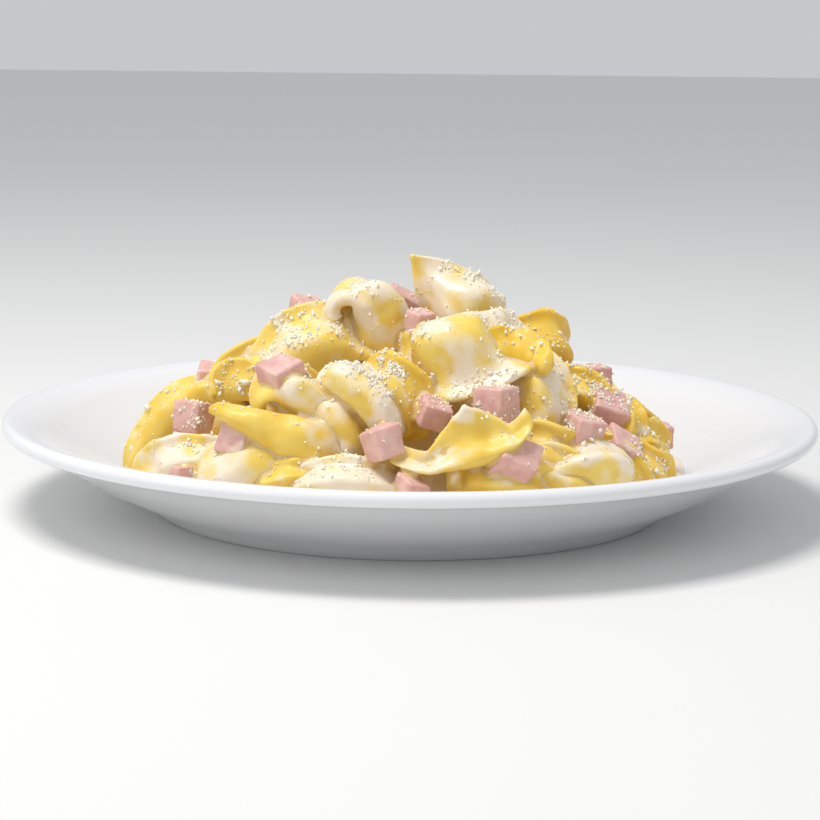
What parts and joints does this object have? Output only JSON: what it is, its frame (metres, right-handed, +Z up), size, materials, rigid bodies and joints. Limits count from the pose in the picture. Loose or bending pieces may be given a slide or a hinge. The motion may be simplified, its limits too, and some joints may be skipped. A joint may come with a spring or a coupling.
{
  "type": "plate of tortellini",
  "caption": "Heaped filled pasta rings in cream sauce with diced ham and grated cheese, on a shallow round white plate.",
  "frame": {"origin": "centre of the plate's foot, on the surface it stands on", "axes": "+Z up, +Y away from the front of the plate, +X to the right seen from the front"},
  "size_m": [0.25, 0.25, 0.075],
  "materials": {
    "porcelain": "glossy white glaze",
    "pasta": "moist egg pasta with a film of cream",
    "ham": "moist cooked ham",
    "cream": "glossy cream sauce"
  },
  "bodies": {
    "root": {"cream_sauce": "cream", "ham_cube_01": "ham", "ham_cube_02": "ham", "ham_cube_03": "ham", "ham_cube_04": "ham", "ham_cube_05": "ham", "ham_cube_06": "ham", "ham_cube_07": "ham", "ham_cube_08": "ham", "ham_cube_09": "ham", "ham_cube_10": "ham", "ham_cube_11": "ham", "ham_cube_12": "ham", "ham_cube_13": "ham", "ham_cube_14": "ham", "ham_cube_15": "ham", "ham_cube_16": "ham", "ham_cube_17": "ham", "ham_cube_18": "ham", "heap_core": "pasta", "plate": "porcelain", "tortellino_banana": "pasta", "tortellino_boat": "pasta", "tortellino_cheesy": "pasta", "tortellino_crown": "pasta", "tortellino_far_back": "pasta", "tortellino_far_end": "pasta", "tortellino_far_foot": "pasta", "tortellino_far_low": "pasta", "tortellino_far_ridge": "pasta", "tortellino_far_top": "pasta", "tortellino_fold": "pasta", "tortellino_front": "pasta", "tortellino_leaf": "pasta", "tortellino_leaf_low": "pasta", "tortellino_left_back": "pasta", "tortellino_left_hi": "pasta", "tortellino_long": "pasta", "tortellino_low_leaf": "pasta", "tortellino_low_left": "pasta", "tortellino_low_mid": "pasta", "tortellino_mid": "pasta", "tortellino_neck": "pasta", "tortellino_nook": "pasta", "tortellino_olive": "pasta", "tortellino_pearl": "pasta", "tortellino_right": "pasta", "tortellino_right_hi": "pasta", "tortellino_rims": "pasta", "tortellino_sheet": "pasta", "tortellino_top": "pasta"}
  },
  "joints": []
}
